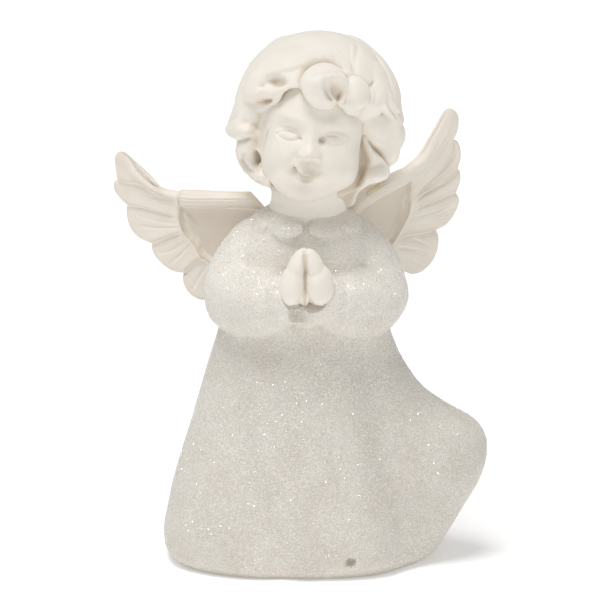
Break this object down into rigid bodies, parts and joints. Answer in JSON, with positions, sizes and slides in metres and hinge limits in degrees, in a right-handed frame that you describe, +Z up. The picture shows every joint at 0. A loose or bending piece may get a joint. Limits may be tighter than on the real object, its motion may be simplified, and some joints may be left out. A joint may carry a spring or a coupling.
{
  "type": "angel figurine",
  "caption": "Small standing child angel with curled hair, praying hands, spread feathered wings and a long robe blown out to one side; a shelf or table ornament.",
  "frame": {"origin": "on the underside of the felt pad, under the middle of the figurine's body", "axes": "+Z up to the crown of the head, -Y the way the figurine faces, +X towards its own left hand and the blown-out side of the robe"},
  "size_m": [0.076, 0.0464, 0.1092],
  "materials": {
    "glittered_resin": "matte white paint over cast resin, dusted with fine silver glitter",
    "plain_resin": "matte white paint over cast resin",
    "adhesive": "set adhesive, slightly glossy",
    "felt": "short-pile felt"
  },
  "bodies": {
    "root": {"robe_body": "glittered_resin", "head": "plain_resin", "praying_hands": "plain_resin", "left_wing": "plain_resin", "right_wing": "plain_resin", "neck_glue": "adhesive", "hands_glue": "adhesive", "left_wing_glue": "adhesive", "right_wing_glue": "adhesive", "base_pad": "felt"}
  },
  "joints": []
}
